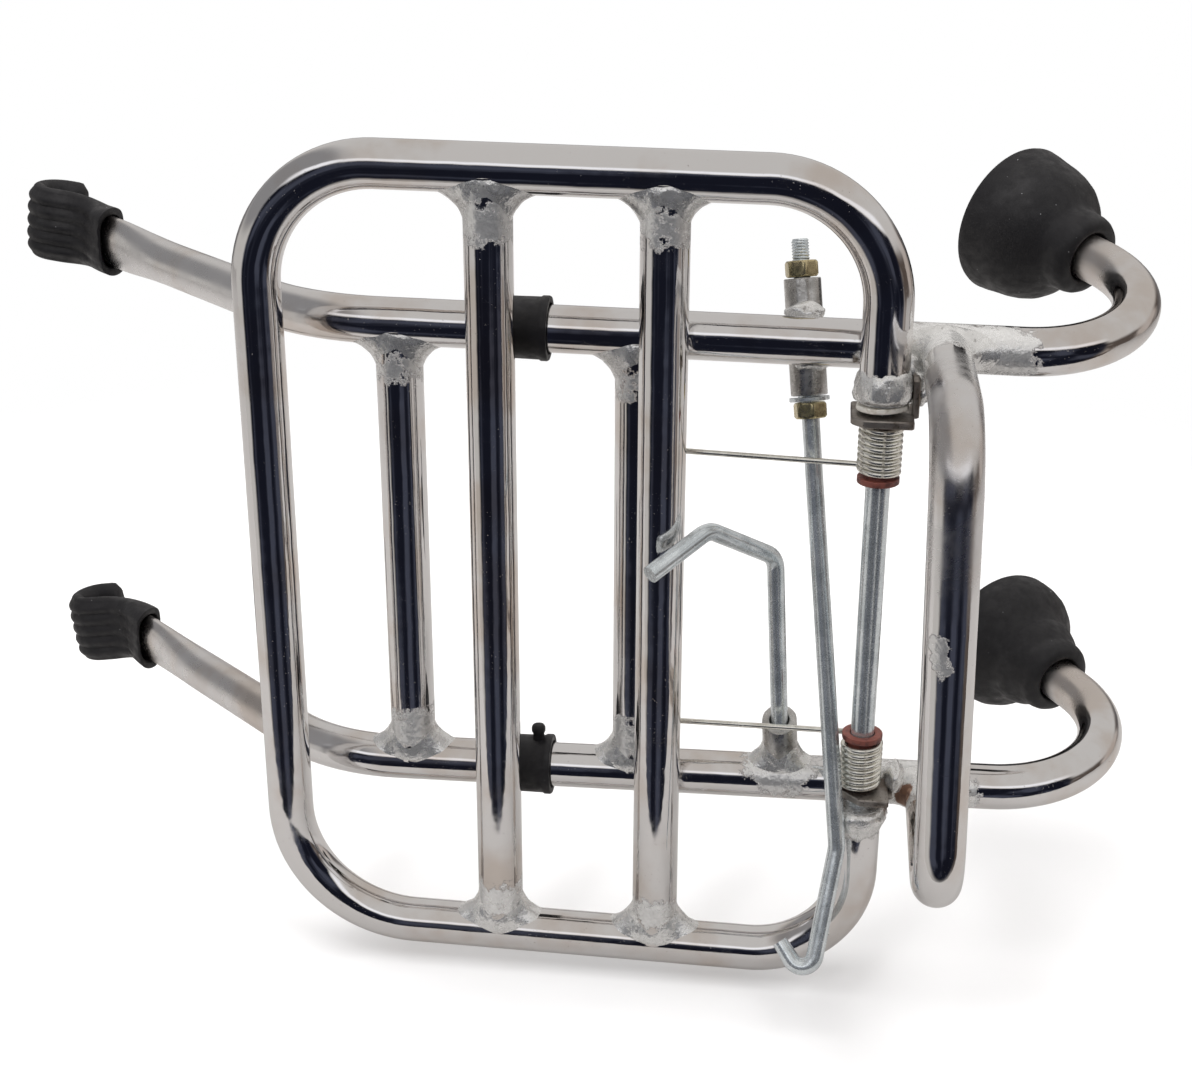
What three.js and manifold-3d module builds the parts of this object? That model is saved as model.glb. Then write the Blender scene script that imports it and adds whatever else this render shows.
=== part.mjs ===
// Folding luggage carrier for the front shield of a classic scooter.
// Two bent side tubes hang over the shield's top edge by rubber covered hooks and stand off its
// face on two suction cups. A tubular rack folds down on a sprung hinge rod and lands on a
// support bar. Two hooked rods turn in welded sleeves.
//
// Millimetres. +Z is up as installed, -Y is the front (the rack's side), +X is the rider's left.
// Lengths are worked out in the carrier's own frame, where z = 0 is the upper crossbar's axis and
// y = 0 is the plane of the straight side tubes. The whole group is then moved so that the
// origin is the midpoint between the two hook seats on the shield's top edge.
import * as THREE from 'three';
import { mergeVertices } from 'three/addons/utils/BufferGeometryUtils.js';
import Module from 'manifold-3d';

const wasm = await Module();
wasm.setup();

// ---- driving dimensions -------------------------------------------------------------------
const GAP = 0.3; // clearance between neighbouring pieces
const TUBE_R = 8; // 16 mm chromed tube
const TUBE_SIDES = 14;
const BEND_STEP_DEG = 16; // one ring of a bent tube for each such turn

// side tubes
const SIDE_X = 82.6; // half the spacing of the side tubes at the upper crossbar
const SPLAY_DEG = 0.75; // each side tube leans outward towards the top
const LOW_BEND = { // each side was bent by hand, so the two differ a little
  left: { z: -206, radius: 40, deg: 130.5, yaw: 13.5, tail: 17 },
  right: { z: -208.3, radius: 42.5, deg: 123, yaw: -6.5, tail: 21 },
};
const TOP_BEND = {
  left: { z: 6, radius: 64, deg: 43, yaw: -0.5, tail: 129 },
  right: { z: 6, radius: 64, deg: 43, yaw: 1.8, tail: 129 },
};
const CROSSBAR_Z = { upper: 0, lower: -81.4 };

// rack and its hinge
const HINGE_Y = -19.2;
const HINGE_Z = -161.7;
const HINGE_ROD_R = 4;
const RACK = { halfWidth: 139.3, skew: 2.6, height: 203.8, bar1: 126.9, bar2: 70.5 };
const RACK_CORNERS = [39, 40, 45, 36]; // bend radii, from the hinge's left round to its right
const RACK_END = { left: 67.4, right: -79 }; // where the rack tube's two ends stop on the hinge line
const RACK_BORE_DEPTH = 16;
const LUG = { thick: 2.6, size: 20, chamfer: { left: 4, right: 10 }, left: 63.6, right: -75 };
const LUG_TAB = { thick: 2.3, reach: 14, outer: 75.5, below: 9.2 };
const WASHER = { thick: 2.4, radius: 8.4 };
const BUSH = { sleeveR: 4.8, discR: 6.9, disc: 2, length: 20.8 };
const SPRING = { wireR: 1, coilR: 6.3, turns: 8, pitch: 2.05, sides: 6, ringsPerTurn: 12 };
const SPRING_ARM = { tail: 7.5, toY: -4.5, slant: { left: 0.5, right: 4 } };

// support bar in front of the side tubes
const SUPPORT = { left: -181.4, right: -186.2, reach: 83, corner: 24 };

// rubber buffers on the side tubes, behind the rack's upper bar
const BUFFER = { low: -51.5, high: -31, radius: 10.9, flatY: -10.7, tab: 5.2, tabHeight: 5 };

// sleeves, hooked rods and their fasteners
const ROD_R = 3;
const SLEEVE_R = 6.2;
const SLEEVE_BORE_R = 3.5;
const NUT = { acrossFlats: 10, thick: 5.2, bore: 3.4 };
const FLAT_WASHER = { radius: 6.1, thick: 1.4, bore: 3.4 };
const LONG_ROD = {
  at: new THREE.Vector3(80.9, 14.9, -135.7), // where its axis passes behind the left side tube
  lean: 0.27, // forward travel for each unit across
  drop: 0.113, // downward travel for each unit across
  stud: 109.5, // across positions of its end, nuts and sleeve
  outerNut: 97.4,
  sleeveTop: 97,
  sleeveBottom: 59.5,
  innerWasher: 57.7,
  innerNut: 52.1,
  bend: -90,
  corner: new THREE.Vector3(-134, -52, -147.6),
  tip: new THREE.Vector3(-121.5, -44, -137),
  bendRadius: 12,
  cornerRadius: 4.5,
};
const SHORT_ROD = {
  axisY: 0,
  axisZ: -132.9, // height of its axis at the mouth of its sleeve
  slope: 0.06,
  mouth: -57.2,
  foot: -72.2,
  bend: 4,
  hookAngle: 46, // the hooked end leans this far forward of straight up
  knee: { x: 21.2, out: 30 },
  tip: { x: 12, out: 56 },
  bendRadius: 8,
};

// hooks over the top edge of the shield
const HOOK = { rise: 16, curl: 8.5, flap: 4, width: 22, thick: 3, lean: 7 };
const BOOT = { width: 29, thick: 8, ribs: 5, ribDepth: 0.9, tipCover: 3, mouthThick: 20, skirt: 15 };

// suction cups on the lower ends
const CUP = { neckR: 14.4, length: 39, rimR: 27, bellR: 26.2, pocketR: 8.6, pocketDepth: 13, mouthR: 10.4 };

// ---- materials ----------------------------------------------------------------------------
const finish = (color, roughness, metalness) =>
  new THREE.MeshStandardMaterial({ color, roughness, metalness });
const chrome = () => finish(0xc9c7c4, 0.16, 1);
const weldedSteel = () => finish(0x9c9a96, 0.45, 0.9);
const zinc = () => finish(0xb4bcc0, 0.35, 0.9);
const yellowZinc = () => finish(0xb8a25c, 0.4, 0.9);
const blackRubber = () => finish(0x1d1c1e, 0.75, 0);
const plateSteel = () => finish(0x6b6560, 0.6, 0.8);
const whiteNylon = () => finish(0xd9d4c8, 0.55, 0);
const brownBush = () => finish(0x6e3526, 0.7, 0);

// ---- geometry helpers ---------------------------------------------------------------------
const rad = THREE.MathUtils.degToRad;
const vec = (x, y, z) => new THREE.Vector3(x, y, z);

// A bent rod's centre line: straight runs between corners, each corner rounded by an arc. Its
// stations lie only at the ends and in the arcs.
class BentPath extends THREE.Curve {
  constructor(corners, radii = [], stepDeg = BEND_STEP_DEG) {
    super();
    this.stations = [];
    const direction = (a, b) => b.clone().sub(a).normalize();
    this.add(corners[0], direction(corners[0], corners[1]));
    for (let i = 1; i < corners.length - 1; i += 1) {
      const inward = direction(corners[i - 1], corners[i]);
      const outward = direction(corners[i], corners[i + 1]);
      this.addArc(corners[i], inward, outward, radii[i - 1], stepDeg);
    }
    const last = corners.length - 1;
    this.add(corners[last], direction(corners[last - 1], corners[last]));
  }

  add(point, tangent) {
    this.stations.push({ point: point.clone(), tangent: tangent.clone() });
  }

  addArc(corner, inward, outward, radius, stepDeg) {
    const turn = inward.angleTo(outward);
    const start = corner.clone().addScaledVector(inward, -radius * Math.tan(turn / 2));
    const side = outward.clone().addScaledVector(inward, -outward.dot(inward)).normalize();
    const steps = Math.max(2, Math.ceil(THREE.MathUtils.radToDeg(turn) / stepDeg));
    for (let i = 0; i <= steps; i += 1) {
      const angle = (turn * i) / steps;
      const point = start.clone()
        .addScaledVector(inward, radius * Math.sin(angle))
        .addScaledVector(side, radius * (1 - Math.cos(angle)));
      const tangent = inward.clone().multiplyScalar(Math.cos(angle))
        .addScaledVector(side, Math.sin(angle));
      this.add(point, tangent);
    }
  }

  get steps() {
    return this.stations.length - 1;
  }

  getPointAt(u) {
    return this.stations[Math.round(u * this.steps)].point.clone();
  }

  getTangentAt(u) {
    return this.stations[Math.round(u * this.steps)].tangent.clone();
  }
}

// A regular polygon whose corners lie on a circle of the given radius.
function polygon(radius, sides = TUBE_SIDES) {
  const points = [];
  for (let i = 0; i < sides; i += 1) {
    const angle = (2 * Math.PI * (i + 0.5)) / sides;
    points.push(new THREE.Vector2(radius * Math.cos(angle), radius * Math.sin(angle)));
  }
  return points;
}

function sweep(section, path) {
  const shape = Array.isArray(section) ? new THREE.Shape(section) : section;
  return new THREE.ExtrudeGeometry(shape, { steps: path.steps, extrudePath: path });
}

function rod(corners, radii, radius = TUBE_R, sides = TUBE_SIDES) {
  return sweep(polygon(radius, sides), new BentPath(corners, radii));
}

// A collar about an axis: an outline with a round hole, extruded from one point to another.
function collar(outline, bore, from, to, boreSides = 16) {
  const shape = new THREE.Shape(outline);
  shape.holes.push(new THREE.Path(polygon(bore, boreSides)));
  return sweep(shape, new BentPath([from, to]));
}

function hexagon(acrossFlats) {
  return polygon(acrossFlats / Math.sqrt(3), 6);
}

function toSolid(geometry) {
  const bare = geometry.clone();
  bare.deleteAttribute('normal');
  bare.deleteAttribute('uv');
  const merged = mergeVertices(bare, 1e-4);
  return new wasm.Manifold(new wasm.Mesh({
    numProp: 3,
    vertProperties: new Float32Array(merged.attributes.position.array),
    triVerts: new Uint32Array(merged.index.array),
  }));
}

function toGeometry(solid) {
  const mesh = solid.getMesh();
  const geometry = new THREE.BufferGeometry();
  geometry.setAttribute('position', new THREE.BufferAttribute(mesh.vertProperties, 3));
  geometry.setIndex(new THREE.BufferAttribute(mesh.triVerts, 1));
  return geometry;
}

function cut(geometry, ...tools) {
  return toGeometry(tools.reduce((solid, tool) => solid.subtract(toSolid(tool)), toSolid(geometry)));
}

function join(geometry, ...others) {
  return toGeometry(others.reduce((solid, other) => solid.add(toSolid(other)), toSolid(geometry)));
}

function place(parent, name, geometry, material) {
  const mesh = new THREE.Mesh(geometry, material);
  mesh.name = name;
  parent.add(mesh);
  return mesh;
}

// ---- side tubes, with the hooks and cups that ride on them --------------------------------
// In a side's own frame y points back and z along the tube's straight run. A bend starts where
// the run ends; its heading is the direction that the tube leaves it in.
function bend({ z, radius, deg, yaw, tail }, sign, up) {
  const turn = rad(deg);
  const heading = vec(0, Math.sin(turn), up * Math.cos(turn)).applyAxisAngle(vec(0, 0, 1), -sign * rad(yaw));
  const tangent = radius * Math.tan(turn / 2);
  const corner = vec(0, 0, z + up * tangent);
  const end = corner.clone().addScaledVector(heading, tangent + tail);
  return { corner, end, heading, radius };
}

// The side tube's axis at a height on its straight run, in the carrier's frame.
function sideX(z) {
  return SIDE_X + z * Math.tan(rad(SPLAY_DEG));
}

function sideTube(low, top) {
  return rod([low.end, low.corner, top.corner, top.end], [low.radius, top.radius]);
}

// The hook's centre line starts at the tube's end, turns up along the shield's face and curls
// back over its top edge. Its frame has its origin at the tube's end.
const topHeading = vec(0, Math.sin(rad(TOP_BEND.left.deg)), Math.cos(rad(TOP_BEND.left.deg)));
const hookBend = topHeading.clone().multiplyScalar(9);
function hookPath(start, tip) {
  const kneeTop = hookBend.z + HOOK.rise;
  const back = hookBend.y + 2 * HOOK.curl;
  return new BentPath(
    [
      topHeading.clone().multiplyScalar(start),
      hookBend,
      vec(0, hookBend.y, kneeTop + HOOK.curl),
      vec(0, back, kneeTop + HOOK.curl),
      vec(0, back, kneeTop - HOOK.flap - tip),
    ],
    [9, HOOK.curl - 0.01, HOOK.curl - 0.01],
    30,
  );
}

function slab(width, thick) {
  const x = width / 2;
  const y = thick / 2;
  return [[-x, -y], [x, -y], [x, y], [-x, y]].map(([a, b]) => new THREE.Vector2(a, b));
}

// The boot's section: flat inside, with rounded ribs along the outer face.
function ribbedSlab() {
  const half = BOOT.width / 2;
  const y = BOOT.thick / 2;
  const points = [new THREE.Vector2(half - 1.5, -y), new THREE.Vector2(half, -y + 1.5)];
  points.push(new THREE.Vector2(half, y - 1.5));
  const pitch = (BOOT.width - 2) / BOOT.ribs;
  for (let i = 0; i < BOOT.ribs; i += 1) {
    const edge = half - 1 - i * pitch;
    points.push(new THREE.Vector2(edge - 0.25 * pitch, y));
    points.push(new THREE.Vector2(edge - 0.75 * pitch, y));
    if (i < BOOT.ribs - 1) {
      points.push(new THREE.Vector2(edge - pitch, y - BOOT.ribDepth));
    }
  }
  points.push(new THREE.Vector2(-half, y - 1.5));
  points.push(new THREE.Vector2(-half, -y + 1.5));
  points.push(new THREE.Vector2(-half + 1.5, -y));
  return points;
}

// The wedge shaped mouth where the boot widens to take the round tube's end.
function bootSkirt() {
  const along = topHeading;
  const across = vec(0, along.z, -along.y);
  const corner = (a, b) => {
    const point = along.clone().multiplyScalar(a).addScaledVector(across, b);
    return new THREE.Vector2(point.y, point.z);
  };
  const half = BOOT.mouthThick / 2;
  const outline = new THREE.Shape([
    corner(-BOOT.skirt + 5, -half),
    corner(-BOOT.skirt + 5, half),
    corner(2, half),
    corner(12, BOOT.thick / 2),
    corner(12, -BOOT.thick / 2 + 1),
    corner(2, -half),
  ]);
  const geometry = new THREE.ExtrudeGeometry(outline, { depth: BOOT.width, bevelEnabled: false });
  geometry.translate(0, 0, -BOOT.width / 2);
  geometry.applyMatrix4(new THREE.Matrix4().makeBasis(vec(0, 1, 0), vec(0, 0, 1), vec(1, 0, 0)));
  return geometry;
}

function hookStrap() {
  return sweep(slab(HOOK.width, HOOK.thick), hookPath(2.2, 0));
}

function hookBoot(sign) {
  const body = join(sweep(ribbedSlab(), hookPath(1, BOOT.tipCover)), bootSkirt());
  const strapRoom = sweep(slab(HOOK.width + 0.8, HOOK.thick + 0.8), hookPath(-1, 0.4));
  const tubeRoom = rod(
    [topHeading.clone().multiplyScalar(-30), topHeading.clone().multiplyScalar(1.2)],
    [],
    TUBE_R + 0.6,
  );
  tubeRoom.rotateY(-sign * rad(HOOK.lean));
  return cut(body, strapRoom, tubeRoom);
}

// A bell with a thick neck: a blind pocket for the tube above, the hollow of the cup below.
function cupGeometry() {
  const { neckR, length, rimR, bellR, pocketR, pocketDepth, mouthR } = CUP;
  const outline = [
    [0, pocketDepth],
    [pocketR, pocketDepth],
    [pocketR, 4],
    [mouthR, 2.5],
    [mouthR, 0],
    [neckR - 0.8, 0],
    [neckR, 0.8],
    [neckR + 0.3, 10],
    [neckR + 2.4, 13],
    [neckR + 8.5, 18],
    [bellR - 1.2, 24],
    [bellR, 30],
    [bellR - 0.2, 35],
    [rimR, length - 1],
    [rimR - 0.4, length],
    [rimR - 2.6, length],
    [bellR - 3.4, 33],
    [bellR - 4.6, 26],
    [neckR + 3, 20],
    [0, 17],
  ];
  const profile = outline.map(([r, y]) => new THREE.Vector2(r, y));
  return new THREE.LatheGeometry(profile, 20);
}

function sideAssembly(side) {
  const sign = side === 'left' ? 1 : -1;
  const low = bend(LOW_BEND[side], sign, -1);
  const top = bend(TOP_BEND[side], sign, 1);
  const straight = new THREE.Group();
  straight.position.set(sign * SIDE_X, 0, 0);
  straight.rotation.y = sign * rad(SPLAY_DEG);
  place(straight, `${side}_side_tube`, sideTube(low, top), chrome());
  place(straight, `${side}_rack_buffer`, bufferGeometry(side), blackRubber());

  const hook = new THREE.Group();
  hook.position.copy(top.end);
  hook.rotation.order = 'ZYX';
  hook.rotation.set(0, sign * rad(HOOK.lean), -sign * rad(TOP_BEND[side].yaw));
  straight.add(hook);
  place(hook, `${side}_hook_strap`, hookStrap(), weldedSteel());
  place(hook, `${side}_hook_boot`, hookBoot(sign), blackRubber());

  const cup = place(straight, `${side}_suction_cup`, cupGeometry(), blackRubber());
  cup.position.copy(low.end).addScaledVector(low.heading, -CUP.pocketDepth + GAP);
  cup.quaternion.setFromUnitVectors(vec(0, 1, 0), low.heading);
  return straight;
}

// A rubber band round the side tube, pressed flat where the rack rests on it, with the stub of
// its button fastening.
function bufferGeometry(side) {
  const outline = [];
  const flatAngle = Math.acos(-BUFFER.flatY / BUFFER.radius);
  const start = -Math.PI / 2 + flatAngle;
  const sweepAngle = 2 * Math.PI - 2 * flatAngle;
  const steps = 16;
  for (let i = 0; i <= steps; i += 1) {
    const angle = start + (sweepAngle * i) / steps;
    outline.push([BUFFER.radius * Math.cos(angle), BUFFER.radius * Math.sin(angle)]);
  }
  const shape = new THREE.Shape(outline.map(([x, y]) => new THREE.Vector2(x, y)));
  shape.holes.push(new THREE.Path(polygon(TUBE_R + 0.5, 16)));
  const height = BUFFER.high - BUFFER.low;
  const band = new THREE.ExtrudeGeometry(shape, { depth: height, bevelEnabled: false });
  band.translate(0, 0, BUFFER.low);
  const reach = side === 'left' ? vec(0, 1, 0) : vec(1, 0, 0);
  const middle = BUFFER.low + BUFFER.tabHeight;
  const from = reach.clone().multiplyScalar(BUFFER.radius - 2).setZ(middle);
  const to = reach.clone().multiplyScalar(BUFFER.radius + BUFFER.tab).setZ(middle);
  return join(band, rod([from, to], [], BUFFER.tabHeight / 2, 10));
}

// ---- fixed frame: crossbars, support bar, hinge lugs and sleeves --------------------------
function crossbar(z) {
  const x = sideX(z) - TUBE_R - 0.4;
  return rod([vec(-x, 0, z), vec(x, 0, z)], []);
}

function supportBar() {
  const near = -TUBE_R - GAP;
  const leftX = sideX(SUPPORT.left);
  const rightX = -sideX(SUPPORT.right);
  const corners = [
    vec(rightX, near, SUPPORT.right),
    vec(rightX, -SUPPORT.reach, SUPPORT.right),
    vec(leftX, -SUPPORT.reach, SUPPORT.left),
    vec(leftX, near, SUPPORT.left),
  ];
  return rod(corners, [SUPPORT.corner, SUPPORT.corner]);
}

// A lug plate stands across the hinge rod, with a tab that runs out over the side tube's face.
function hingeLug(side) {
  const sign = side === 'left' ? 1 : -1;
  const inner = LUG[side] - sign * LUG.thick;
  const half = LUG.size / 2;
  const back = -TUBE_R - GAP;
  const front = HINGE_Y - half;
  const chamfer = LUG.chamfer[side];
  const plateShape = new THREE.Shape([
    new THREE.Vector2(front, HINGE_Z - half),
    new THREE.Vector2(back, HINGE_Z - half),
    new THREE.Vector2(back, HINGE_Z + half),
    new THREE.Vector2(front + chamfer, HINGE_Z + half),
    new THREE.Vector2(front, HINGE_Z + half - chamfer),
  ]);
  const hole = polygon(HINGE_ROD_R + 0.4, 16).map((p) => p.add(new THREE.Vector2(HINGE_Y, HINGE_Z)));
  plateShape.holes.push(new THREE.Path(hole));
  const plate = new THREE.ExtrudeGeometry(plateShape, { depth: LUG.thick, bevelEnabled: false });
  plate.applyMatrix4(new THREE.Matrix4().makeBasis(vec(0, 1, 0), vec(0, 0, 1), vec(1, 0, 0)));
  plate.translate(Math.min(inner, LUG[side]), 0, 0);
  const outer = sign * LUG_TAB.outer;
  const root = LUG[side] - sign;
  const tab = new THREE.BoxGeometry(Math.abs(outer - root), LUG_TAB.reach, LUG_TAB.thick);
  tab.translate((outer + root) / 2, back - LUG_TAB.reach / 2, HINGE_Z - LUG_TAB.below - LUG_TAB.thick / 2);
  return join(plate, tab);
}

// ---- rack ---------------------------------------------------------------------------------
function rackFrame() {
  const { halfWidth, skew, height } = RACK;
  const at = (x, up) => vec(x, HINGE_Y, HINGE_Z + up);
  const corners = [
    at(RACK_END.left, 0),
    at(halfWidth - skew, 0),
    at(halfWidth, height),
    at(-halfWidth, height),
    at(-halfWidth - skew, 0),
    at(RACK_END.right, 0),
  ];
  const tube = rod(corners, RACK_CORNERS);
  const bore = (end, sign) => rod(
    [at(end - sign, 0), at(end + sign * RACK_BORE_DEPTH, 0)],
    [],
    HINGE_ROD_R + 0.4,
    12,
  );
  return cut(tube, bore(RACK_END.left, 1), bore(RACK_END.right, -1));
}

function rackBar(up) {
  const x = RACK.halfWidth - TUBE_R - GAP;
  const shift = RACK.skew * (1 - up / RACK.height);
  return rod([vec(-x - shift, HINGE_Y, HINGE_Z + up), vec(x - shift, HINGE_Y, HINGE_Z + up)], []);
}

function hingeRod() {
  const inside = RACK_BORE_DEPTH - 2;
  const from = vec(RACK_END.right - inside, HINGE_Y, HINGE_Z);
  const to = vec(RACK_END.left + inside, HINGE_Y, HINGE_Z);
  return rod([from, to], [], HINGE_ROD_R, 12);
}

// ---- torsion springs ----------------------------------------------------------------------
// A close coil round the bush. Its short tail points down behind the lug's plate and its long arm
// runs up behind the rack to the underside of the fixed lower crossbar.
function springGeometry(side) {
  const sign = side === 'left' ? 1 : -1;
  const start = LUG[side] - sign * (LUG.thick + SPRING.wireR + GAP);
  const rings = SPRING.turns * SPRING.ringsPerTurn;
  const path = new BentPath([vec(0, 0, 0), vec(1, 0, 0)]);
  path.stations = [];
  path.add(vec(start, HINGE_Y + SPRING.coilR, HINGE_Z - SPRING_ARM.tail), vec(0, 0, 1));
  for (let i = 0; i <= rings; i += 1) {
    const angle = (2 * Math.PI * i) / SPRING.ringsPerTurn;
    const point = vec(
      start - (sign * SPRING.pitch * i) / SPRING.ringsPerTurn,
      HINGE_Y + SPRING.coilR * Math.cos(angle),
      HINGE_Z + SPRING.coilR * Math.sin(angle),
    );
    path.add(point, vec(0, -Math.sin(angle), Math.cos(angle)));
  }
  const last = path.stations[path.steps].point;
  const under = CROSSBAR_Z.lower - TUBE_R - SPRING.wireR - GAP;
  const armTop = vec(last.x - SPRING_ARM.slant[side], SPRING_ARM.toY, under);
  const armDirection = armTop.clone().sub(last).normalize();
  path.add(last.clone().addScaledVector(armDirection, 3), armDirection);
  path.add(armTop, armDirection);
  return sweep(polygon(SPRING.wireR, SPRING.sides), path);
}

// A bush lines each spring: a thin sleeve on the rod, with a disc that caps the coil.
function bushGeometry(side) {
  const sign = side === 'left' ? 1 : -1;
  const start = LUG[side] - sign * (LUG.thick + GAP);
  const at = (along) => start - sign * along;
  const profile = [
    [HINGE_ROD_R + GAP, 0],
    [BUSH.sleeveR, 0],
    [BUSH.sleeveR, BUSH.length - BUSH.disc],
    [BUSH.discR, BUSH.length - BUSH.disc],
    [BUSH.discR, BUSH.length],
    [HINGE_ROD_R + GAP, BUSH.length],
    [HINGE_ROD_R + GAP, 0],
  ];
  const lathe = new THREE.LatheGeometry(profile.map(([r, y]) => new THREE.Vector2(r, y)), 20);
  lathe.rotateZ((sign * Math.PI) / 2);
  lathe.translate(at(0), HINGE_Y, HINGE_Z);
  return lathe;
}

function hingeWasher() {
  const near = vec(LUG.left + GAP, HINGE_Y, HINGE_Z);
  const far = vec(LUG.left + GAP + WASHER.thick, HINGE_Y, HINGE_Z);
  return collar(polygon(WASHER.radius, 24), HINGE_ROD_R + 0.4, near, far);
}

// ---- long hooked rod ----------------------------------------------------------------------
function longRodAt(x) {
  const across = LONG_ROD.at.x - x;
  return vec(x, LONG_ROD.at.y - LONG_ROD.lean * across, LONG_ROD.at.z - LONG_ROD.drop * across);
}

function longRod() {
  const corners = [longRodAt(LONG_ROD.stud), longRodAt(LONG_ROD.bend), LONG_ROD.corner, LONG_ROD.tip];
  return rod(corners, [LONG_ROD.bendRadius, LONG_ROD.cornerRadius], ROD_R, 10);
}

function onLongRod(outline, bore, x, thick) {
  return collar(outline, bore, longRodAt(x), longRodAt(x + thick), 12);
}

// ---- short hooked rod ---------------------------------------------------------------------
function shortRodAt(x) {
  return vec(x, SHORT_ROD.axisY, SHORT_ROD.axisZ + SHORT_ROD.slope * (x - SHORT_ROD.mouth));
}

function shortRodOut({ x, out }) {
  const angle = rad(SHORT_ROD.hookAngle);
  return shortRodAt(x).add(vec(0, -out * Math.sin(angle), out * Math.cos(angle)));
}

function shortRod() {
  const corners = [
    shortRodAt(SHORT_ROD.foot + 1.5),
    shortRodAt(SHORT_ROD.bend),
    shortRodOut(SHORT_ROD.knee),
    shortRodOut(SHORT_ROD.tip),
  ];
  return rod(corners, [SHORT_ROD.bendRadius, SHORT_ROD.bendRadius], ROD_R, 10);
}

// ---- assembly -----------------------------------------------------------------------------
const carrier = new THREE.Group();

for (const side of ['left', 'right']) {
  carrier.add(sideAssembly(side));
  place(carrier, `${side}_hinge_lug`, hingeLug(side), plateSteel());
  place(carrier, `${side}_torsion_spring`, springGeometry(side), zinc());
  place(carrier, `${side}_hinge_bush`, bushGeometry(side), brownBush());
}
for (const [level, z] of Object.entries(CROSSBAR_Z)) {
  place(carrier, `${level}_crossbar`, crossbar(z), chrome());
}
place(carrier, 'support_bar', supportBar(), chrome());
place(carrier, 'hinge_rod', hingeRod(), zinc());
place(carrier, 'hinge_washer', hingeWasher(), whiteNylon());
place(carrier, 'rack_frame', rackFrame(), chrome());
place(carrier, 'rack_upper_bar', rackBar(RACK.bar1), chrome());
place(carrier, 'rack_lower_bar', rackBar(RACK.bar2), chrome());

const sleeveOutline = polygon(SLEEVE_R, 16);
const longSleeve = LONG_ROD.sleeveTop - LONG_ROD.sleeveBottom;
place(
  carrier,
  'long_rod_sleeve',
  onLongRod(sleeveOutline, SLEEVE_BORE_R, LONG_ROD.sleeveBottom, longSleeve),
  weldedSteel(),
);
place(carrier, 'long_hook_rod', longRod(), zinc());
const nut = hexagon(NUT.acrossFlats);
place(carrier, 'long_rod_outer_nut', onLongRod(nut, NUT.bore, LONG_ROD.outerNut, NUT.thick), yellowZinc());
place(carrier, 'long_rod_inner_nut', onLongRod(nut, NUT.bore, LONG_ROD.innerNut, NUT.thick), yellowZinc());
place(
  carrier,
  'long_rod_washer',
  onLongRod(polygon(FLAT_WASHER.radius, 16), FLAT_WASHER.bore, LONG_ROD.innerWasher, FLAT_WASHER.thick),
  zinc(),
);
place(
  carrier,
  'short_rod_sleeve',
  collar(sleeveOutline, SLEEVE_BORE_R, shortRodAt(SHORT_ROD.foot), shortRodAt(SHORT_ROD.mouth), 12),
  weldedSteel(),
);
place(carrier, 'short_hook_rod', shortRod(), zinc());

// ---- origin -------------------------------------------------------------------------------
// Each hook seats on the shield's edge under the middle of its curl.
carrier.updateMatrixWorld(true);
const seats = ['left', 'right'].map((side) => {
  const strap = carrier.getObjectByName(`${side}_hook_strap`);
  const seat = vec(0, hookBend.y + HOOK.curl, hookBend.z + HOOK.rise + HOOK.curl - BOOT.thick / 2);
  return strap.localToWorld(seat);
});
const origin = seats[0].clone().add(seats[1]).multiplyScalar(0.5).setX(0);
carrier.position.copy(origin).negate();

const part = new THREE.Group();
part.add(carrier);

export default part;
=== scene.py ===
import math

import bpy
from mathutils import Euler, Matrix, Vector, noise

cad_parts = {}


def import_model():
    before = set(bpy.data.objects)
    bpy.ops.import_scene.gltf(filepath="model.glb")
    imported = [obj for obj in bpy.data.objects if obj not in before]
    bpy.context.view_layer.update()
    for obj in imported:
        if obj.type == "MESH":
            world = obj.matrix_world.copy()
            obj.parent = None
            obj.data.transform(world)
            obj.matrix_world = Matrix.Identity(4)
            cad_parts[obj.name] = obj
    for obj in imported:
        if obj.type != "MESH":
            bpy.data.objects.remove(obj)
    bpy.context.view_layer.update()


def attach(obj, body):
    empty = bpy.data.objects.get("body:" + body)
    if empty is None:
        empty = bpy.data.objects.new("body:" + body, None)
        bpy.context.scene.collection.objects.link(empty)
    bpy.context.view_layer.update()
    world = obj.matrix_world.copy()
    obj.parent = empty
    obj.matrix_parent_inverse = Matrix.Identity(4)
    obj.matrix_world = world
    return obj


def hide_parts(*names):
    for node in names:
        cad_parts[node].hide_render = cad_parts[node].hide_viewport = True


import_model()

# The carrier's own frame: millimetres, with z = 0 at the upper crossbar and y = 0 in the plane of
# the straight side tubes. ORIGIN is where the row's origin lies in it.
ORIGIN = Vector((0, 119.73986, 170.79722))
TUBE_R = 8
ROD_R = 3
SLEEVE_R, BORE_R = 6.2, 3.5
SIDE_X, SPLAY = 82.6, math.radians(0.75)
HINGE_Y, HINGE_Z = -19.2, -161.7
CROSSBARS = {"upper_crossbar": 0, "lower_crossbar": -81.4}
SIDES = {1: "left", -1: "right"}


def world(p):
    return (Vector(p) - ORIGIN) * 0.001


def smoothstep(a, b, x):
    t = min(1, max(0, (x - a) / (b - a)))
    return t * t * (3 - 2 * t)


# ---- camera, light and floor ------------------------------------------------------------------
def make_camera():
    data = bpy.data.cameras.new("camera")
    data.lens, data.sensor_width, data.sensor_fit = 56.166, 36, "HORIZONTAL"
    cam = bpy.data.objects.new("camera", data)
    cam.location = (0.2464, -0.7133, -0.31231)
    cam.rotation_euler = Euler([math.radians(a) for a in (157.196, 82.805, 89.0)], "XYZ")
    bpy.context.collection.objects.link(cam)
    bpy.context.scene.camera = cam


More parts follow.
